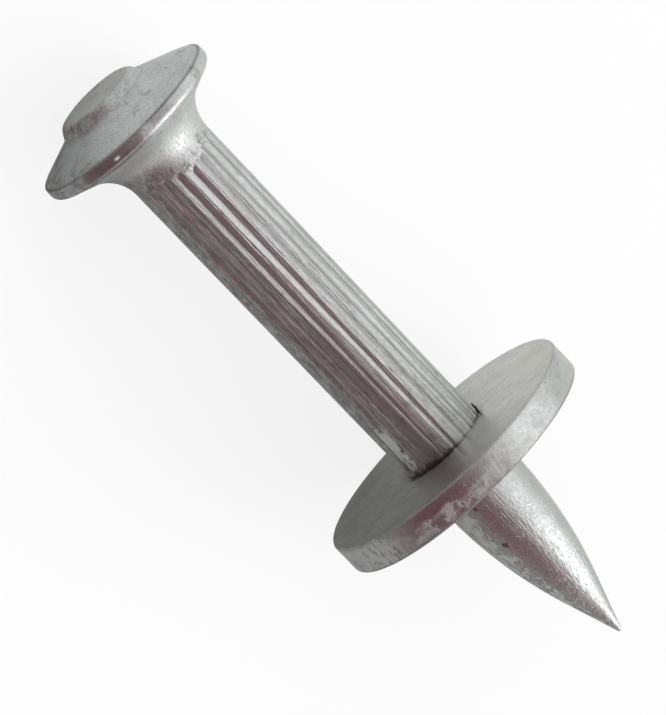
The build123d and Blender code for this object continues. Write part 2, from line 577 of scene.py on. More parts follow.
def worn_land(at, past_start):
    """Seam along a land's middle, burr on its edge and nick across its edge."""
    reach = 1 - smooth_step(at.moved, 0.0, at.wide * 0.30)
    gate = smooth_step(waver(at.land * 11.0, 0.4, at.down / 1.9), -0.05, 0.3)
    seam = reach * gate * smooth_step(at.real_land, 0.05, 0.25) * past_start
    corner = bump(at.moved, at.wide * 0.6, at.wide * 0.98, at.wide * 1.25)
    burr = corner * (0.5 + 0.5 * waver(at.land * 4.0, at.side * 3.0, at.down / 0.35))
    gate = smooth_step(waver(at.land * 6.1, at.side * 1.7, at.down / 0.45), 0.40, 0.6)
    nick = gate * (1 - smooth_step(at.moved, at.wide * 0.9, at.wide * 1.6)) * past_start
    return seam, burr * past_start, nick


def cut_flutes(bm, shape, washer):
    """Press the flutes into the shank, with torn starts, laps on the lands and ragged edges."""
    layers = new_layers(bm, "torn", "land", "lap")
    low = shape.flute_start - 0.7 * MM
    high = washer.seat + washer.thickness - 0.01 * MM
    least_radius = 1.2 * MM
    for vert in bm.verts:
        radius = hypot(vert.co.x, vert.co.y)
        if not low <= vert.co.z <= high or radius < least_radius:
            continue
        at = flute_spot(shape, vert.co, low)
        place = Vector((at.roll * at.radius, 7.0 * MM, at.height))
        surface = pressed_surface(shape, at, place)
        depth = at.radius - surface
        crumple = rough(place, 0.24 * MM) + 0.5 * rough(place, 0.11 * MM)
        patch, rolled_in, crease = torn_start(at, crumple)
        past_start = smooth_step(at.height, at.start + 0.2 * MM, at.start + 0.6 * MM)
        seam, burr, nick = worn_land(at, past_start)
        surface += patch * (CRUMPLE * max(-0.4, crumple) + 0.004 * MM)
        surface += burr * LAND_BURR - seam * SEAM_DEPTH + nick * NICK_DEPTH * at.side
        vert.co.x = -surface * cos(at.roll)
        vert.co.y = surface * sin(at.roll)
        vert[layers.torn] = patch
        on_land = 1 - smooth_step(at.moved, at.wide * 0.82, at.wide * 1.05)
        vert[layers.land] = on_land * past_start
        entry = bump(at.height, at.start - 0.10 * MM, at.start + 0.05 * MM, at.start + 0.36 * MM)
        entry *= smooth_step(depth, 0.008 * MM, 0.03 * MM) * (0.35 + 0.65 * rolled_in)
        far_side = smooth_step(at.roll, radians(4), radians(22))
        bed_reach = mix(0.10, 0.17, far_side) * at.pitch
        in_bed = 1 - smooth_step(at.from_groove, 0.03 * at.pitch, bed_reach)
        bed_line = in_bed * smooth_step(depth, 0.015 * MM, 0.03 * MM)
        vert[layers.lap] = max(
            0.8 * seam, 0.5 * nick, 1.3 * crease, 0.6 * entry,
            bed_line * mix(0.5, 0.6, far_side))


def scuff_head(bm, shape):
    """Small dents on the crown's edge and side, and slight waves on the head, with the masks of
    the painted reflection, shade and glint on the head.
    """
    layers = new_layers(
        bm, "scuff", "edge_line", "film", "painted_glint", "crown_face", "crown_side")
    rim_top = rim_top_height(shape)
    mid_rim = rim_top + shape.rim_height / 2
    rim_edge = shape.head_radius
    face_end = shape.crown_top_radius - 0.35 * MM
    face_edge = shape.crown_top_radius - 0.13 * MM
    for vert in bm.verts:
        if vert.co.z > rim_top + 2.2 * MM:
            continue
        from_crown = hypot(vert.co.x, vert.co.y + shape.crown_offset)
        from_head = hypot(vert.co.x, vert.co.y + shape.head_offset)
        on_top = 1 - smooth_step(vert.co.z, rim_top - 0.1 * MM, rim_top + 0.2 * MM)
        side_mark = on_top * bump(from_crown, face_end, shape.crown_top_radius, 2.3 * MM)
        lower_side = smooth_step(-vert.co.y, 0.0, 1.1 * MM)
        dents = rough(vert.co, 0.34 * MM) + 0.6 * rough(vert.co, 0.13 * MM)
        vert.co.z += side_mark * (0.15 + 0.85 * lower_side) * 0.007 * MM * dents
        vert.co.z += 0.010 * MM * rough(vert.co, 1.1 * MM) * on_top
        # A shallow groove along the rim's upper edge; the dark line laid in it is painted shade.
        edge_line = bump(from_head, rim_edge - 0.17 * MM, rim_edge - 0.08 * MM, rim_edge)
        edge_line *= bump(vert.co.z, rim_top - 0.12 * MM, rim_top - 0.02 * MM,
                          rim_top + 0.08 * MM)
        vert.co.z += edge_line * 0.025 * MM
        # The scuffs lie mostly on the crown's lower side, where their stain is partly painted
        # shade.
        vert[layers.scuff] = side_mark * (0.05 + 0.95 * lower_side)
        vert[layers.crown_side] = side_mark * (1 - lower_side)
        vert[layers.edge_line] = edge_line
        vert[layers.crown_face] = 1 - smooth_step(from_crown, face_edge, face_edge + 0.09 * MM)
        # Painted dark reflection on the rim: full on its near side, from about -46 to 5 degrees
        # round, and thinner on the upper half of the rim from 2 to 46 degrees.
        on_rim = smooth_step(from_head, rim_edge - 0.22 * MM, rim_edge - 0.06 * MM)
        roll = atan2(vert.co.y + shape.head_offset, -vert.co.x)
        edge_roll = roll + radians(4) * rough(vert.co, 0.35 * MM)
        patch = smooth_step(edge_roll, radians(-46), radians(-38))
        patch *= 1 - smooth_step(edge_roll, radians(-2), radians(5))
        upper_rim = 1 - smooth_step(vert.co.z, mid_rim, mid_rim + 0.14 * MM)
        thin_painted_reflection = 0.95 * upper_rim * bump(edge_roll, radians(2), radians(14), radians(46))
        vert[layers.film] = on_rim * (patch + (1 - patch) * thin_painted_reflection)
        # Painted glint: a pale, hardly metallic spot halfway up the rim, about 17 degrees round
        # on the near side.
        painted_glint = bump(vert.co.z, mid_rim - 0.10 * MM, mid_rim, mid_rim + 0.10 * MM)
        painted_glint *= bump(roll, radians(-20.2), radians(-17.3), radians(-14.6))
        vert[layers.painted_glint] = on_rim * painted_glint


def laid_piece(bm, name, material):
    """Finished object: the skin laid in its place in the row frame, smooth but for its edges."""
    bmesh.ops.transform(bm, matrix=own_frame(), verts=bm.verts)
    piece = linked_object(bm, name, material)
    piece.data.shade_smooth()
    piece.data.set_sharp_from_angle(angle=SHARP_ANGLE)
    return piece


def linked_object(bm, name, material):
    """Object of the scene made of a finished skin."""
    mesh = bpy.data.meshes.new(name)
    bm.to_mesh(mesh)
    bm.free()
    mesh.materials.append(material)
    made = bpy.data.objects.new(name, mesh)
    bpy.context.scene.collection.objects.link(made)
    return made


class Graph:
    """Node tree of a material or a shader group, with short ways to add its nodes."""

    def __init__(self, tree):
        self.tree = tree

    def node(self, kind, inputs=None, **settings):
        """Node with its settings, and its inputs given as values or as sockets to link."""
        made = self.tree.nodes.new(kind)
        for name, value in settings.items():
            setattr(made, name, value)
        self.fill(made, inputs or {})
        return made

    def fill(self, made, inputs):
        """Set or link the inputs of a node."""
        for key, value in inputs.items():
            if isinstance(value, bpy.types.NodeSocket):
                self.tree.links.new(value, made.inputs[key])
            else:
                made.inputs[key].default_value = value

    def math(self, operation, *values):
        """Output of a math node."""
        inputs = dict(enumerate(values))
        return self.node("ShaderNodeMath", inputs, operation=operation).outputs[0]

    def product(self, first, *others):
        """Product of several values."""
        for other in others:
            first = self.math("MULTIPLY", first, other)
        return first

    def inverse(self, value):
        """1 where a mask is 0, and 0 where it is 1."""
        return self.math("SUBTRACT", 1.0, value)

    def weighted(self, total, values, weights):
        """A start value with named values added to it, each by its weight."""
        for name, weight in weights.items():
            total = self.math("ADD", total, self.product(values[name], weight))
        return total

    def ramp(self, value, low, high, first=0.0, last=1.0):
        """Value moved smoothly from one range to another and held inside it."""
        inputs = {"Value": value, "From Min": low, "From Max": high,
                  "To Min": first, "To Max": last}
        made = self.node("ShaderNodeMapRange", inputs, interpolation_type="SMOOTHSTEP")
        return made.outputs[0]

    def band(self, value, low, high, fall_start=None, fall_end=None):
        """Mask that rises from low to high and, where it is told to, falls again."""
        rising = self.ramp(value, low, high)
        if fall_start is None:
            return rising
        return self.math("MINIMUM", rising, self.ramp(value, fall_end, fall_start))

    def bands(self, value, table):
        """Named masks of one value, each with the ends that a table gives."""
        return {name: self.band(value, *ends) for name, ends in table.items()}

    def colour_mix(self, factor, first, second):
        """Colour mixed from two others."""
        inputs = {0: factor, 6: opaque(first), 7: opaque(second)}
        return self.node("ShaderNodeMix", inputs, data_type="RGBA").outputs[2]

    def layers(self, colour, masks, rows):
        """Colour with others laid over it in turn, each by a named mask and a share."""
        for name, share, over in rows:
            colour = self.colour_mix(self.product(masks[name], share), colour, over)
        return colour

    def stretched(self, place, scale):
        """Place scaled differently along each axis."""
        return self.node("ShaderNodeMapping", {"Vector": place, "Scale": scale}).outputs[0]

    def noise(self, place, scale, detail=2.0, roughness=0.5, distortion=0.0, along=1.0):
        """Noise texture's value, drawn out along the Z axis where along is under 1."""
        if along != 1.0:
            place = self.stretched(place, (1.0, 1.0, along))
        inputs = {"Vector": place, "Scale": scale, "Detail": detail,
                  "Roughness": roughness, "Distortion": distortion}
        return self.node("ShaderNodeTexNoise", inputs).outputs[0]

    def noises(self, place, table):
        """Named noises over one place, each with the values that a table gives."""
        return {name: self.noise(place, *row) for name, row in table.items()}

    def patches(self, noises, masks, table):
        """Masks cut from named noises between two values, each kept to other masks."""
        made = {}
        for name, (source, low, high, *kept_to) in table.items():
            patch = self.ramp(noises[source], low, high)
            made[name] = self.product(patch, *(masks[mask] for mask in kept_to))
        return made

    def object_place(self):
        """Object coordinates."""
        return self.node("ShaderNodeTexCoord").outputs["Object"]

    def own_place(self):
        """Object coordinates turned to the pin's own axes, in millimetres."""
        place = own_frame()
        inputs = {"Vector": self.object_place(), "Location": place.to_translation(),
                  "Rotation": place.to_euler(), "Scale": (MM, MM, MM)}
        return self.node("ShaderNodeMapping", inputs, vector_type="TEXTURE").outputs[0]

    def parts(self, place):
        """The three numbers of a place."""
        return self.node("ShaderNodeSeparateXYZ", {0: place}).outputs

    def own_roll(self, parts):
        """Angle round the pin's axis from its uppermost side, towards own Y."""
        return self.math("ARCTAN2", parts[1], self.product(parts[0], -1.0))

    def carried(self, *names):
        """Values that ride on the piece's vertices, by their names."""
        made = {}
        for name in names:
            found = self.node("ShaderNodeAttribute", attribute_name=name)
            made[name] = found.outputs["Fac"]
        return made

    def effect(self, name, inputs):
        """Outputs of a shared effect, placed with its own values."""
        made = self.tree.nodes.new("ShaderNodeGroup")
        made.node_tree = bpy.data.node_groups.get(name) or effect_group(name)
        self.fill(made, inputs)
        return made.outputs


def opaque(colour):
    """Colour with a full alpha; a socket stays as it is."""
    return colour if isinstance(colour, bpy.types.NodeSocket) else (*colour, 1.0)


def zinc_plating(graph, given):
    """Zinc plate: cloudy tone, fine grain and a height for the bump."""
    cloud = graph.noise(given["Vector"], given["Cloud scale"], 4.0, 0.6, 0.4)
    grain = graph.noise(given["Vector"], given["Grain scale"], 3.0, 0.65)
    speck = graph.noise(given["Vector"], graph.product(given["Grain scale"], 2.7), 2.0, 0.6)
    height = graph.math("ADD", graph.product(grain, 0.7), graph.product(speck, 0.3))
    return {"Tone": graph.ramp(cloud, 0.3, 0.7), "Grain": graph.ramp(grain, 0.3, 0.7),
            "Height": height}


def pits_and_specks(graph, given):
    """Small pits and specks scattered unevenly."""
    bent = graph.noise(given["Vector"], 9.0)
    inputs = {0: given["Vector"], 1: bent}
    place = graph.node("ShaderNodeVectorMath", inputs, operation="ADD").outputs[0]
    cells = graph.node("ShaderNodeTexVoronoi",
                       {"Vector": place, "Scale": given["Scale"], "Randomness": 1.0})
    chosen = graph.noise(given["Vector"], 1.7, 1.0)
    allowed = graph.ramp(chosen, graph.math("SUBTRACT", 0.98, given["Share"]),
                         graph.math("SUBTRACT", 1.08, given["Share"]))
    spot = graph.ramp(cells.outputs["Distance"], given["Size"], 0.0)
    mask = graph.product(spot, allowed)
    return {"Mask": mask, "Height": graph.product(mask, -1.0)}


def drawn_scratches(graph, given):
    """Fine scratches that run along the Z axis of the vector."""
    streak = graph.noise(given["Vector"], given["Scale"], 3.0, 0.6, along=0.06)
    return {"Height": graph.math("SUBTRACT", streak, 0.5)}


EFFECTS = {
    "Zinc plating": (zinc_plating, {"Cloud scale": 1.2, "Grain scale": 14.0}),
    "Pits and specks": (pits_and_specks, {"Scale": 4.0, "Size": 0.16, "Share": 0.5}),
    "Drawn scratches": (drawn_scratches, {"Scale": 10.0}),
}


def effect_group(name):
    """Shader group of an effect that more than one material uses."""
    build, inputs = EFFECTS[name]
    tree = bpy.data.node_groups.new(name, "ShaderNodeTree")
    tree.interface.new_socket(name="Vector", in_out="INPUT", socket_type="NodeSocketVector")
    for socket, default in inputs.items():
        made = tree.interface.new_socket(
            name=socket, in_out="INPUT", socket_type="NodeSocketFloat")
        made.default_value = default
    graph = Graph(tree)
    results = build(graph, graph.node("NodeGroupInput").outputs)
    for socket in results:
        tree.interface.new_socket(
            name=socket, in_out="OUTPUT", socket_type="NodeSocketFloat")
    graph.node("NodeGroupOutput", results)
    return tree


def shaded_material(name):
    """Material with the usual shader, with its graph and the shader."""
    material = bpy.data.materials.new(name)
    material.use_nodes = True
    return material, Graph(material.node_tree), material.node_tree.nodes["Principled BSDF"]


def plated_marks(graph, place, plating, pits, scratches):
    """Masks and heights of the three shared effects, under plain names."""
    plate = graph.effect("Zinc plating", {"Vector": place, **plating})
    specks = graph.effect("Pits and specks", {"Vector": place, **pits})
    drawn = graph.effect("Drawn scratches", {"Vector": place, **scratches})
    return {"tone": plate["Tone"], "grain": plate["Grain"], "plate_height": plate["Height"],
            "pits": specks["Mask"], "pits_height": specks["Height"],
            "scratch_height": drawn["Height"]}


# Bands of the pin's materials: each rises between its first two values and falls between
# its last two. Heights are in millimetres from the struck face, rolls in radians.
PIN_HEIGHTS = {
    "head": (2.9, 1.9),
    "point": (21.2, 21.8),
    "below_neck": (3.9, 4.6),
    "below_cone": (3.1, 3.8),
    "dull_line": (10.5, 15.5),
    "mouth": (19.0, 20.2),
    "seat": (19.0, 20.0),
    "rim_edge": (1.55, 1.75, 1.95, 2.2),
    "pale_streak": (17.0, 17.9, 19.6, 19.9),
    "neck_shade": (2.95, 3.25, 4.0, 4.5),
}
PIN_ROLLS = {
    "near_point": (-0.52, -0.86),
    "near_shank": (-0.60, -1.15),
    "near_side": (-1.55, -1.2, -0.32, -0.08),
    "front": (-1.5, -1.1, 0.0, 0.45),
    "dull_line": (-0.50, -0.36, -0.22, -0.10),
    "pale_streak": (-1.16, -1.04, -0.80, -0.70),
    "neck_shade": (-1.35, -1.05, -0.42, -0.10),
}
LOW_HEAD = (-2.4, -3.9)

# Noises of the pin's material: scale, detail, roughness, distortion and stretch along it
PIN_NOISES = {
    "drawn": (5.5, 4.0, 0.62, 0.0, 0.10),
    "grit": (13.0, 3.0, 0.6, 0.0, 0.35),
    "stain": (1.15, 5.0, 0.66, 0.6),
    "blotch": (2.1, 4.0, 0.62, 0.4),
    "bead": (4.2, 4.0, 0.62, 0.0, 0.7),
    "scale": (2.9, 5.0, 0.66, 1.0, 0.55),
    "speckle": (9.5, 4.0, 0.7, 0.0, 0.17),
    "mouth": (2.6, 3.0, 0.6, 0.0, 0.5),
    "neck_shade": (3.4, 5.0, 0.68, 0.5, 0.7),
}

# Patches of the pin: their noise, where the mask rises and the masks that keep it in
PIN_PATCHES = {
    "streak": ("drawn", 0.50, 0.66, "shank"),
    "grit": ("grit", 0.46, 0.64),
    "stain": ("low_stain", 0.56, 0.66, "head", "off_crown_side"),
    "blotch": ("blotch", 0.44, 0.56),
    "speckle": ("speckle", 0.47, 0.60, "near_side"),
    "mouth": ("by_mouth", 1.30, 1.42),
    "neck_shade": ("neck_shade", 0.40, 0.54, "neck_shade"),
    "flake": ("near_scale", 0.585, 0.615, "on_near"),
}

# Dark spots on the point: place on the pin's own axes and size, in millimetres
DARK_SPOTS = (((-1.386, -0.99, 24.59), 0.12), ((-1.632, -0.86, 22.60), 0.08))


def pin_zones(graph, place):
    """Masks of the pin's parts, and of its near side as the camera sees it."""
    parts = graph.parts(place)
    heights = graph.bands(parts[2], PIN_HEIGHTS)
    rolls = graph.bands(graph.own_roll(parts), PIN_ROLLS)
    shank = graph.math("SUBTRACT", heights["below_neck"], heights["point"])
    above = graph.inverse(heights["below_neck"])
    below_cone = graph.math("SUBTRACT", heights["below_cone"], heights["point"])
    zones = {name: heights[name] for name in ("head", "point", "below_neck", "rim_edge")}
    zones["shank"] = shank
    zones["off_shank"] = graph.inverse(shank)
    zones["neck"] = graph.math("SUBTRACT", above, heights["head"])
    zones["low_head"] = graph.ramp(parts[1], *LOW_HEAD)
    zones["near_point"] = graph.product(rolls["near_point"], heights["point"])
    zones["near_shank"] = graph.product(rolls["near_shank"], shank, 0.75)
    zones["near_side"] = graph.product(rolls["near_side"], below_cone)
    zones["dull"] = graph.product(rolls["dull_line"], heights["dull_line"], shank)
    for name in ("pale_streak", "neck_shade"):
        zones[name] = graph.product(heights[name], rolls[name])
    # Painted shadow: the shank is darkened on its front side where it goes into the washer.
    for name in ("mouth", "seat"):
        zones[name] = graph.product(heights[name], shank, rolls["front"])
    return zones


def dark_spot(graph, place, bent, centre, size):
    """Mask of one ragged dark spot at a place on the pin's own axes."""
    inputs = {0: place, 1: centre}
    away = graph.node("ShaderNodeVectorMath", inputs, operation="DISTANCE").outputs["Value"]
    reach = graph.math("ADD", away, graph.product(bent, 0.25))
    return graph.ramp(reach, size + 0.17, size + 0.09)


def pin_marks(graph, place):
    """Masks and heights of everything that the pin's material shows, by name."""
    marks = plated_marks(graph, place, {"Cloud scale": 0.9, "Grain scale": 9.0},
                         {"Scale": 2.6, "Size": 0.22, "Share": 0.50}, {"Scale": 9.0})
    marks.update(pin_zones(graph, place))
    marks.update(graph.carried("land", "lap", "torn", "scuff", "film", "edge_line", "painted_glint",
                               "crown_face", "crown_side"))
    marks["off_crown_side"] = graph.inverse(marks["crown_side"])
    near = graph.weighted(
        marks["near_point"], marks, {"near_shank": 0.8, "pale_streak": 1.1})
    marks["on_near"] = graph.math("ADD", near, graph.product(marks["point"], 0.18))
    noises = graph.noises(place, PIN_NOISES)
    # Stains are made likelier on the head's lower side, partly as painted shade.
    noises["low_stain"] = graph.weighted(noises["stain"], marks, {"low_head": 0.10})
    noises["by_mouth"] = graph.math("ADD", marks["mouth"], noises["mouth"])
    scales = graph.math("ADD", noises["scale"], graph.product(near, 0.115))
    noises["near_scale"] = scales
    marks.update(graph.patches(noises, marks, PIN_PATCHES))
    outline = graph.math("SUBTRACT", graph.ramp(scales, 0.55, 0.585),
                         graph.ramp(scales, 0.59, 0.62))
    marks["outline"] = graph.product(outline, marks["on_near"])
    blotches = graph.math("ADD", 0.55, marks["blotch"])
    marks["smudge_and_painted_shade"] = graph.product(marks["scuff"], blotches)
    marks["speck"] = graph.product(marks["pits"], marks["off_shank"])
    bent = graph.noise(place, 7.0)
    spots = [dark_spot(graph, place, bent, *spot) for spot in DARK_SPOTS]
    marks["spots"] = graph.math("MAXIMUM", *spots)
    marks["scratch_height"] = graph.product(
        marks["scratch_height"], graph.math("ADD", marks["below_neck"], 0.40))
    marks["grit_height"] = noises["grit"]
    marks["drawn_height"] = graph.product(noises["drawn"], marks["shank"])
    for name in ("scale", "bead"):
        marks[name + "_height"] = graph.product(noises[name], marks["point"])
    return marks


def finish_metal(graph, shader, marks, colour, metallic, roughness, relief, strength):
    """Feed the shader its colour, and its metal, gloss and relief from weighted marks."""
    height = graph.weighted(0.0, marks, relief)
    bumps = graph.node("ShaderNodeBump", {
        "Height": height, "Strength": strength, "Distance": RELIEF_DEPTH})
    graph.fill(shader, {
        "Base Color": colour,
        "Metallic": graph.weighted(1.0, marks, metallic),
        "Roughness": graph.weighted(0.30, marks, roughness),
        "Normal": bumps.outputs[0]})


def pin_material(finish):
    """Zinc plate on the pin: bright on the flanks, dull on the head, flaky on the point."""
    material, graph, shader = shaded_material("zinc_plated_pin")
    marks = pin_marks(graph, graph.own_place())
    colour = graph.layers(finish.pin_zinc, marks, (
        ("head", 0.70, finish.head_zinc),
        # The neck is lightened all round with the pale colour of the painted glint.
        ("neck", 0.40, finish.painted_glint),
        ("land", 0.15, finish.bare_steel_and_shade),
        ("crown_face", 0.52, finish.bare_steel_and_shade),
        ("tone", 0.28, finish.bare_steel_and_shade),
        ("grain", 0.24, finish.bare_steel_and_shade),
        ("streak", 0.42, finish.bare_steel_and_shade),
        ("grit", 0.36, finish.bare_steel_and_shade),
        ("speckle", 0.36, finish.grime_and_shade),
        ("dull", 0.72, finish.bare_steel_and_shade),
        ("neck_shade", 0.50, finish.painted_shade_and_reflection),
        ("stain", 0.42, finish.stain),
        # Stained scuffs on the crown, partly painted shade on its lower side.
        ("smudge_and_painted_shade", 0.45, finish.stain),
        ("outline", 0.60, finish.grime_and_shade),
        ("flake", 0.80, finish.flake),
        ("lap", 0.60, finish.grime_and_shade),
        # Painted dark reflection on the rim.
        ("film", 0.75, finish.painted_shade_and_reflection),
        # Painted shade in the groove along the rim's upper edge.
        ("edge_line", 0.70, finish.grime_and_shade),
        ("speck", 0.55, finish.grime_and_shade),
        # Painted shadow where the shank goes into the washer.
        ("seat", 0.30, finish.grime_and_shade),
        ("mouth", 0.75, finish.grime_and_shade),
        ("spots", 0.80, finish.grime_and_shade),
        # Painted glint on the head's rim.
        ("painted_glint", 1.0, finish.painted_glint),
    ))
    metallic = {"flake": -0.60, "painted_glint": -0.9, "crown_side": -0.12}
    roughness = {
        "grain": 0.12, "head": 0.16, "neck": 0.12, "grit": 0.07, "streak": 0.12,
        "flake": 0.30, "torn": 0.16, "scuff": 0.12, "crown_side": 0.22, "speckle": 0.10,
        "dull": 0.14, "point": -0.06, "rim_edge": -0.14}
    relief = {
        "plate_height": 0.45, "pits_height": 0.5, "scratch_height": 0.95,
        "grit_height": 0.80, "drawn_height": 1.3, "scale_height": 0.9, "bead_height": 1.0,
        "flake": 0.30}
    finish_metal(graph, shader, marks, colour, metallic, roughness, relief, 0.55)
    return material


def washer_stations(washer):
    """Closed outline of the washer's section: faces, rim and bore."""
    low = washer.seat
    high = washer.seat + washer.thickness
    gap_radius = washer.bore_radius + 0.10 * MM
    gap_end = low + 0.30 * MM
    top_in = Vector((gap_radius, low))
    top_out = Vector((washer.radius, low))
    under_out = Vector((washer.radius, high))
    under_in = Vector((washer.bore_radius, high))
    top_arc = corner_points(top_in, top_out, under_out, washer.edge_round, 6)
    under_arc = corner_points(top_out, under_out, under_in, washer.edge_round, 6)
    points = [top_in] + line_points(top_in, Vector((gap_radius + 0.5 * MM, low)), 8)
    points += line_points(points[-1], top_arc[0], 20) + top_arc[1:]
    points += line_points(top_arc[-1], under_arc[0], 14) + under_arc[1:]
    points += line_points(under_arc[-1], under_in, 18)
    points += line_points(under_in, Vector((washer.bore_radius, gap_end)), 4)
    return plain_stations(points)


def rag_mouth(washer, roll, radius, height):
    """How dark the painted shadow at the bore's mouth is at a point, and how far the point is
    pulled in and raised.
    """
    spot = Vector((cos(roll), sin(roll), 0)) * 1.9 * MM
    bore_edge = washer.bore_radius + 0.10 * MM
    near_bore = 1 - smooth_step(radius, bore_edge, washer.bore_radius + 0.55 * MM)
    near_top = 1 - smooth_step(height, washer.seat + 0.02 * MM, washer.seat + 0.35 * MM)
    jag = rough(spot, 0.30 * MM) + 0.7 * rough(spot * 1.37, 0.12 * MM)
    open_more = bump(roll, radians(38), radians(60), radians(84))
    inward = near_bore * near_top * (0.055 * MM + 0.04 * MM * jag - open_more * 0.09 * MM)
    lip = near_bore * near_top * 0.006 * MM * (0.4 + jag)
    # Painted shadow: a dark ring round the bore on the top face, wider and darker in front,
    # where the shank goes in.
    in_front = smooth_step(roll, radians(-80), radians(-55))
    in_front *= 1 - smooth_step(roll, 0.0, radians(28))
    ring_reach = washer.bore_radius + (0.22 + 0.20 * rough(spot, 0.45 * MM)) * MM
    ring = 1 - smooth_step(radius, ring_reach, ring_reach + 0.30 * MM)
    return inward, lip, near_top * mix(0.6 * near_bore, 1.6 * ring, in_front)


def torn_rim(washer, roll, place):
    """Share of the torn band, below the burnished one, at a point of the punched rim."""
    torn_share = mix(0.15, 0.50, smooth_step(roll, radians(-52), radians(-36)))
    torn_share = mix(torn_share, 1.3, smooth_step(roll, radians(8), radians(26)))
    line = torn_share - 0.12 + 0.16 * rough(place, 0.8 * MM)
    tear_line = washer.seat + washer.thickness * line
    return smooth_step(place.z, tear_line, tear_line + 0.12 * MM)


def rag_washer(bm, washer):
    """Ragged mouth of the bore, and the burnished and torn bands of the punched rim."""
    layers = new_layers(bm, "mouth", "torn", "edge", "under_edge", "rim", "front")
    low = washer.seat
    high = washer.seat + washer.thickness
    for vert in bm.verts:
        place = vert.co.copy()
        height = place.z
        radius = hypot(place.x, place.y)
        roll = atan2(place.y, -place.x)
        inward, lip, mouth = rag_mouth(washer, roll, radius, height)
        on_rim = smooth_step(radius, washer.radius - 0.10 * MM, washer.radius - 0.01 * MM)
        torn_band = on_rim * torn_rim(washer, roll, place)
        lumps = rough(place, 0.42 * MM) + 0.7 * rough(place, 0.19 * MM)
        new_radius = radius - inward
        new_radius -= torn_band * (0.012 * MM + 0.012 * MM * lumps)
        new_radius -= on_rim * 0.006 * MM * (1 + rough(place, 1.6 * MM))
        vert.co.x = -new_radius * cos(roll)
        vert.co.y = new_radius * sin(roll)
        flat = rough(place, 1.4 * MM) * 0.004 * MM
        is_top = 1 - smooth_step(height, low, low + 0.05 * MM)
        vert.co.z += is_top * (flat - lip + 0.004 * MM)
        from_edge = min(abs(height - low), abs(height - high))
        vert[layers.mouth] = mouth
        vert[layers.torn] = torn_band
        vert[layers.edge] = on_rim * (1 - smooth_step(from_edge, 0.05 * MM, 0.16 * MM))
        under_edge = smooth_step(height, high - 0.15 * MM, high - 0.05 * MM)
        vert[layers.under_edge] = on_rim * under_edge
        vert[layers.rim] = on_rim
        # Painted shade: the top face is darkened in front of the shank.
        front = bump(roll, radians(-70), radians(8), radians(62))
        vert[layers.front] = (1 - on_rim) * is_top * front


def add_burr(bm, washer):
    """Thin curled sliver of steel that stands at the bore's mouth on the far side."""
    older = bm.verts.layers.int.new("older")
    for vert in bm.verts:
        vert[older] = 1
    block = bmesh.ops.create_cube(bm, size=1.0)["verts"]
    bmesh.ops.scale(bm, vec=BURR_SIZE, verts=block)
    edges = list({edge for vert in block for edge in vert.link_edges})
    bmesh.ops.subdivide_edges(bm, edges=edges, cuts=7, use_grid_fill=True)
    made = [vert for vert in bm.verts if vert[older] == 0]
    mouth = bm.verts.layers.float["mouth"]
    for vert in made:
        up = vert.co.z / MM
        taper = 0.55 + 0.45 * smooth_step(up, -0.31, 0.05)
        wide = taper + 0.5 * waver(up * 5.0, 2.0, 0.0)
        deep = 1 + 0.7 * waver(up * 7.0, 0.0, 1.0)
        vert.co.x = vert.co.x * wide + 0.10 * MM * waver(up * 4.0, 0.0, 3.0)
        vert.co.y = vert.co.y * deep + 0.10 * MM * waver(up * 3.1, 5.0, 0.0)
        # The burr is painted dark too, as part of the painted shadow at the mouth.
        vert[mouth] = 1.3
    stand = Matrix.Translation(
        (-washer.bore_radius - 0.16 * MM, 0, washer.seat - 0.20 * MM))
    place = Matrix.Rotation(-BURR_ROLL, 4, "Z") @ stand
    bmesh.ops.transform(bm, matrix=place, verts=made)
    bm.verts.layers.int.remove(bm.verts.layers.int["older"])


# Bands round the washer in radians, the height in millimetres where its blobs end, and
# its patches, as in the pin's tables
WASHER_ROLLS = {
    "lower_end": (-0.62, -0.86),
    "middle": (-0.80, -0.55, 0.12, 0.42),
    "rubbed": (-1.00, -0.74, 0.14, 0.46),
    "mottled": (-0.25, 0.0, 0.16, 0.46),
}
BLOB_END = (21.38, 21.18)
WASHER_PATCHES = {
    "dash": ("sheared", 0.53, 0.62, "torn", "lower_end"),
    "flake": ("sheared", 0.64, 0.44, "torn", "lower_end"),
    "blob": ("clumps", 0.445, 0.565, "torn", "middle", "above_edge"),
    "mottled": ("clumps", 0.42, 0.56, "mottled", "rim"),
    "dust": ("dust", 0.48, 0.66),
    "cloud": ("cloud", 0.42, 0.62),
    "wrinkle": ("wrinkle", 0.50, 0.60),
}

# Noises of the washer's material, as in the pin's table
WASHER_NOISES = {
    "sheared": (6.5, 4.0, 0.62, 0.3, 0.42),
    "clumps": (2.5, 5.0, 0.72, 0.3, 0.85),
    "dust": (15.0, 3.0, 0.65),
    "cloud": (0.8, 4.0, 0.6, 0.5),
}


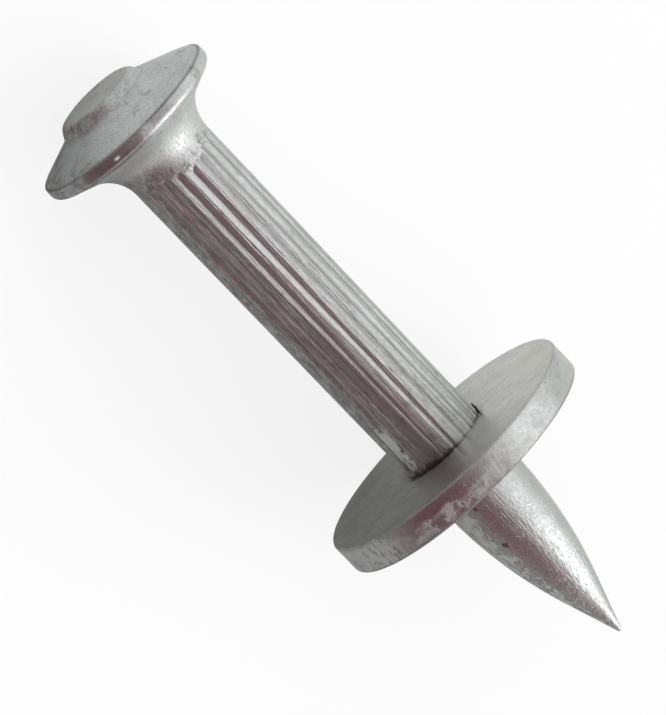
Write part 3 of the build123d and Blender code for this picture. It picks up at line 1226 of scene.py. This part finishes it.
def washer_marks(graph, place):
    """Masks and heights of everything that the washer's material shows, by name."""
    marks = plated_marks(graph, place, {"Cloud scale": 0.7, "Grain scale": 11.0},
                         {"Scale": 2.4, "Size": 0.14, "Share": 0.48}, {"Scale": 7.0})
    marks.update(graph.carried("mouth", "torn", "edge", "under_edge", "rim", "front"))
    parts = graph.parts(place)
    marks.update(graph.bands(graph.own_roll(parts), WASHER_ROLLS))
    marks["above_edge"] = graph.ramp(parts[2], *BLOB_END)
    noises = graph.noises(place, WASHER_NOISES)
    wrinkled = graph.stretched(place, (0.9, 0.45, 1.0))
    noises["wrinkle"] = graph.noise(wrinkled, 3.2, 5.0, 0.68, 1.2)
    marks["rubbed"] = graph.product(marks["rubbed"], marks["rim"])
    marks["burnished"] = graph.product(marks["rim"], graph.inverse(marks["torn"]))
    marks.update(graph.patches(noises, marks, WASHER_PATCHES))
    marks["wrinkle_height"] = noises["wrinkle"]
    lumps = graph.math("ADD", noises["sheared"], noises["clumps"])
    marks["torn_height"] = graph.product(lumps, marks["torn"])
    return marks


def washer_material(finish):
    """Dull zinc on a punched washer: brushed faces and a mottled rim."""
    material, graph, shader = shaded_material("zinc_plated_washer")
    marks = washer_marks(graph, graph.own_place())
    colour = graph.layers(finish.washer_zinc, marks, (
        ("rim", 0.90, finish.rim_zinc),
        # Painted shade on the face in front of the shank.
        ("front", 0.52, finish.bare_steel_and_shade),
        ("rubbed", 0.42, finish.bare_steel_and_shade),
        ("mottled", 0.68, finish.bare_steel_and_shade),
        ("dust", 0.22, finish.grime_and_shade),
        ("tone", 0.30, finish.bare_steel_and_shade),
        ("cloud", 0.24, finish.bare_steel_and_shade),
        ("wrinkle", 0.38, finish.bare_steel_and_shade),
        ("grain", 0.28, finish.bare_steel_and_shade),
        ("flake", 0.80, finish.flake),
        ("dash", 0.40, finish.grime_and_shade),
        ("blob", 0.50, finish.flake),
        # Painted shadow round the bore's mouth.
        ("mouth", 0.75, finish.grime_and_shade),
        ("pits", 0.45, finish.grime_and_shade),
        ("edge", 0.50, finish.bare_steel_and_shade),
        ("under_edge", 0.40, finish.grime_and_shade),
    ))
    metallic = {"blob": -0.26, "flake": -0.45}
    roughness = {"grain": 0.12, "blob": 0.25, "flake": 0.25, "edge": 0.25, "burnished": -0.10}
    relief = {"plate_height": 0.5, "pits_height": 0.5, "scratch_height": 0.3,
              "wrinkle_height": 0.6, "torn_height": 0.8}
    finish_metal(graph, shader, marks, colour, metallic, roughness, relief, 0.5)
    return material


class MakeFlutedPin(bpy.types.Operator):
    """Model the pin: crown, flange head, neck, fluted shank and point."""

    bl_idname = "drive_pin.make_fluted_pin"
    bl_label = "Fluted Pin"
    bl_options = {"REGISTER", "UNDO"}

    def execute(self, context):
        shape = context.scene.drive_pin
        washer = context.scene.drive_pin_washer
        steps = shape.flute_count * STEPS_PER_FLUTE
        bm = spun_skin(pin_stations(shape, washer), False, steps)
        set_off_axis(bm, shape)
        cut_flutes(bm, shape, washer)
        scuff_head(bm, shape)
        piece = laid_piece(bm, "fluted_pin", pin_material(context.scene.drive_pin_finish))
        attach(piece, "root")
        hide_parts("drive_pin")
        return {"FINISHED"}


class MakePressedWasher(bpy.types.Operator):
    """Model the punched washer that is pressed on the end of the flutes."""

    bl_idname = "drive_pin.make_pressed_washer"
    bl_label = "Pressed Washer"
    bl_options = {"REGISTER", "UNDO"}

    def execute(self, context):
        washer = context.scene.drive_pin_washer
        bm = spun_skin(washer_stations(washer), True, WASHER_STEPS)
        drop_layers(bm, "rise", "offset")
        rag_washer(bm, washer)
        add_burr(bm, washer)
        material = washer_material(context.scene.drive_pin_finish)
        piece = laid_piece(bm, "pressed_washer", material)
        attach(piece, "root")
        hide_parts("washer")
        return {"FINISHED"}


def stage_piece(bm, name, material):
    """Stage piece that isn't part of the object."""
    made = linked_object(bm, name, material)
    return made


def mirrored_only(bm, name, material):
    """Stage piece that nothing but the metal's reflections sees."""
    card = stage_piece(bm, name, material)
    card.visible_camera = False
    card.visible_diffuse = False
    card.visible_shadow = False


def grid(size, matrix=Matrix.Identity(4)):
    """Flat square skin that reaches size to each side."""
    bm = bmesh.new()
    bmesh.ops.create_grid(bm, x_segments=1, y_segments=1, size=size, matrix=matrix)
    return bm


def seen_rays(graph):
    """1 for rays from the camera and for those that metal or glass sends on, otherwise 0."""
    rays = graph.node("ShaderNodeLightPath").outputs
    seen = graph.math("MAXIMUM", rays["Is Camera Ray"], rays["Is Glossy Ray"])
    return graph.math("MAXIMUM", seen, rays["Is Transmission Ray"])


def make_floor(look):
    """White floor under the pin, whose shadow is only part as deep as on plain paper."""
    material, graph, shader = shaded_material("pale_floor")
    graph.fill(shader, {"Base Color": opaque(look.floor_colour), "Roughness": 0.9,
                        "Specular IOR Level": 0.0})
    glow = graph.node("ShaderNodeEmission", {"Color": opaque(WHITE), "Strength": 1.0})
    share = graph.product(seen_rays(graph), look.floor_glow)
    inputs = {0: share, 1: shader.outputs[0], 2: glow.outputs[0]}
    blend = graph.node("ShaderNodeMixShader", inputs)
    graph.fill(graph.tree.nodes["Material Output"], {"Surface": blend.outputs[0]})
    stage_piece(grid(FLOOR_REACH), "floor", material)


def glowing_material(name, paint):
    """Material that only glows, in the colour that a function paints in its graph."""
    material = bpy.data.materials.new(name)
    material.use_nodes = True
    graph = Graph(material.node_tree)
    graph.tree.nodes.clear()
    glow = graph.node("ShaderNodeEmission", {"Color": paint(graph), "Strength": 1.0})
    graph.node("ShaderNodeOutputMaterial", {"Surface": glow.outputs[0]})
    return material


def make_card(look):
    """Painted reflection: a warm dark card beside and above the pin that glows, seen only in the
    metal's reflections.

    It is bent round the pin, greys where it meets the floor and fades to white overhead.
    """
    first = radians(44)
    last = radians(-92)

    def paint(graph):
        across = graph.parts(graph.object_place())[1]
        fade = graph.ramp(across, CARD_RADIUS * sin(radians(-16)), CARD_RADIUS * sin(first))
        foot = graph.ramp(across, CARD_RADIUS * sin(radians(-60)), -CARD_RADIUS)
        faded = graph.colour_mix(fade, look.dark_card, WHITE)
        return graph.colour_mix(foot, faded, look.card_foot)

    bm = bmesh.new()
    edge_place = (CARD_RADIUS * sin(first), CARD_RADIUS * cos(first))
    ends = [bm.verts.new((side * CARD_REACH, *edge_place)) for side in (-1, 1)]
    edge = bm.edges.new(ends)
    bmesh.ops.spin(bm, geom=ends + [edge], cent=(0, 0, 0), axis=(1, 0, 0), dvec=(0, 0, 0),
                   angle=first - last, steps=32, use_merge=False, use_normal_flip=False,
                   use_duplicate=False)
    mirrored_only(bm, "dark_card", glowing_material("dark_card", paint))


def make_end_card(look):
    """Painted reflection: a grey glowing card beyond the head, seen only in the metal's
    reflections.
    """
    upright = Matrix.Translation(END_CARD_PLACE) @ Matrix.Rotation(pi / 2, 4, "Y")
    material = glowing_material("end_card", lambda graph: opaque(look.card_foot))
    mirrored_only(grid(END_CARD_REACH, upright), "end_card", material)


# Bands of the painted reflection sheet, in metres along the pin and across it
TABLE_ALONG = {
    "to_point": (4 * MM, 13 * MM),
    "past_head": (-16 * MM, -20 * MM),
}
TABLE_ACROSS = {
    "outward": (-6.5 * MM, -9.5 * MM),
    "beside_shank": (-3.2 * MM, 4.2 * MM),
    "beside_head": (-6.6 * MM, -0.4 * MM),
    "far_of_head": (2.5 * MM, 6.0 * MM),
}


def make_table_sheet(look):
    """Painted reflection of the floor: a glowing sheet just above it, seen only in the metal's
    reflections, grey on the near side as painted shadow and pale on the far side.
    """

    def paint(graph):
        parts = graph.parts(graph.object_place())
        along = graph.bands(parts[0], TABLE_ALONG)
        across = graph.bands(parts[1], TABLE_ACROSS)
        # The near side's greys are the pin's painted shadow on the floor, as the metal mirrors
        # it.
        near = graph.colour_mix(along["to_point"], look.painted_shadow_near, look.painted_shadow_at_point)
        near = graph.colour_mix(across["outward"], near, look.painted_shade_outer)
        shank_side = graph.colour_mix(across["beside_shank"], near, look.table_far)
        head_side = graph.colour_mix(across["beside_head"], near, look.table_head)
        greyed = graph.product(across["far_of_head"], 0.60)
        head_side = graph.colour_mix(greyed, head_side, look.painted_shade_outer)
        return graph.colour_mix(along["past_head"], shank_side, head_side)

    above_floor = Matrix.Translation((0, 0, TABLE_HEIGHT))
    mirrored_only(grid(TABLE_REACH, above_floor), "table_sheet",
                  glowing_material("table_sheet", paint))


def make_lamp(look):
    """One soft lamp above the far side of the point."""
    data = bpy.data.lights.new("soft_lamp", "AREA")
    data.shape = "RECTANGLE"
    data.size = LAMP_SIZE
    data.size_y = LAMP_SIZE
    data.energy = look.lamp_power
    lamp = bpy.data.objects.new("soft_lamp", data)
    lamp.location = LAMP_PLACE
    lamp.rotation_euler = (-lamp.location).to_track_quat("-Z", "Y").to_euler()
    bpy.context.scene.collection.objects.link(lamp)


def light_world(look):
    """White surroundings for the camera and for reflections, side light for matt surfaces."""
    world = bpy.data.worlds.new("studio")
    world.use_nodes = True
    graph = Graph(world.node_tree)
    graph.tree.nodes.clear()
    seen = seen_rays(graph)
    way = graph.node("ShaderNodeTexCoord").outputs["Generated"]
    side_light = graph.ramp(graph.parts(way)[1], -0.4, 0.5, look.dim_side, look.bright_side)
    level = graph.math("ADD", graph.product(side_light, graph.inverse(seen)), seen)
    glow = graph.node("ShaderNodeBackground", {"Color": opaque(WHITE), "Strength": level})
    graph.node("ShaderNodeOutputWorld", {"Surface": glow.outputs[0]})
    world.cycles.sampling_method = "NONE"
    bpy.context.scene.world = world


def place_camera(look):
    """Camera at the photograph's viewing angle, far enough away to flatten the view."""
    sight = -cos(look.view_tilt) * ALONG + sin(look.view_tilt) * UPWARD
    forth = sin(look.view_tilt) * ALONG + cos(look.view_tilt) * UPWARD
    right = cos(look.picture_turn) * forth + sin(look.picture_turn) * SIDEWAYS
    upright = cos(look.picture_turn) * SIDEWAYS - sin(look.picture_turn) * forth
    along, across, above = look.aim
    aim = pin_start() + along * ALONG + across * SIDEWAYS + above * UPWARD
    data = bpy.data.cameras.new("camera")
    data.sensor_fit = "HORIZONTAL"
    data.sensor_width = SENSOR_WIDTH
    pixels_at_distance = look.picture_scale * look.camera_distance / MM
    data.lens = SENSOR_WIDTH * pixels_at_distance / PHOTO_WIDTH
    data.clip_start = 0.01
    camera = bpy.data.objects.new("camera", data)
    turn = Matrix((right, upright, sight)).transposed().to_4x4()
    camera.matrix_world = Matrix.Translation(aim + look.camera_distance * sight) @ turn
    bpy.context.scene.collection.objects.link(camera)
    bpy.context.scene.camera = camera


class MakeStudioStage(bpy.types.Operator):
    """Set the camera, the pale floor, the soft light and the glowing sheets that paint
    reflections in the metal.
    """

    bl_idname = "drive_pin.make_studio_stage"
    bl_label = "Studio Stage"
    bl_options = {"REGISTER", "UNDO"}

    def execute(self, context):
        look = context.scene.drive_pin_stage
        for make in (place_camera, make_floor, make_card, make_end_card, make_table_sheet,
                     make_lamp, light_world):
            make(look)
        context.scene.view_settings.view_transform = "Standard"
        return {"FINISHED"}


class DrivePinPanel(bpy.types.Panel):
    """Sizes and colours, and the buttons that make the pieces and the stage."""

    bl_idname = "VIEW3D_PT_drive_pin"
    bl_label = "Drive Pin"
    bl_space_type = "VIEW_3D"
    bl_region_type = "UI"
    bl_category = "Drive Pin"

    def draw(self, context):
        for name, group in SETTINGS.items():
            box = self.layout.box()
            box.label(text=group.__doc__)
            for field in group.__annotations__:
                box.prop(getattr(context.scene, name), field)
        for operator in OPERATORS:
            self.layout.operator(operator.bl_idname)


OPERATORS = (MakeFlutedPin, MakePressedWasher, MakeStudioStage)
CLASSES = (PinShape, WasherShape, Finish, StageLook, *OPERATORS, DrivePinPanel)
SETTINGS = {
    "drive_pin": PinShape,
    "drive_pin_washer": WasherShape,
    "drive_pin_finish": Finish,
    "drive_pin_stage": StageLook,
}


def register():
    for cls in CLASSES:
        bpy.utils.register_class(cls)
    for name, group in SETTINGS.items():
        setattr(bpy.types.Scene, name, PointerProperty(type=group))


def unregister():
    for name in SETTINGS:
        delattr(bpy.types.Scene, name)
    for cls in reversed(CLASSES):
        bpy.utils.unregister_class(cls)


def main():
    register()
    bpy.ops.drive_pin.make_fluted_pin()
    bpy.ops.drive_pin.make_pressed_washer()
    bpy.ops.drive_pin.make_studio_stage()


if __name__ == "__main__":
    main()
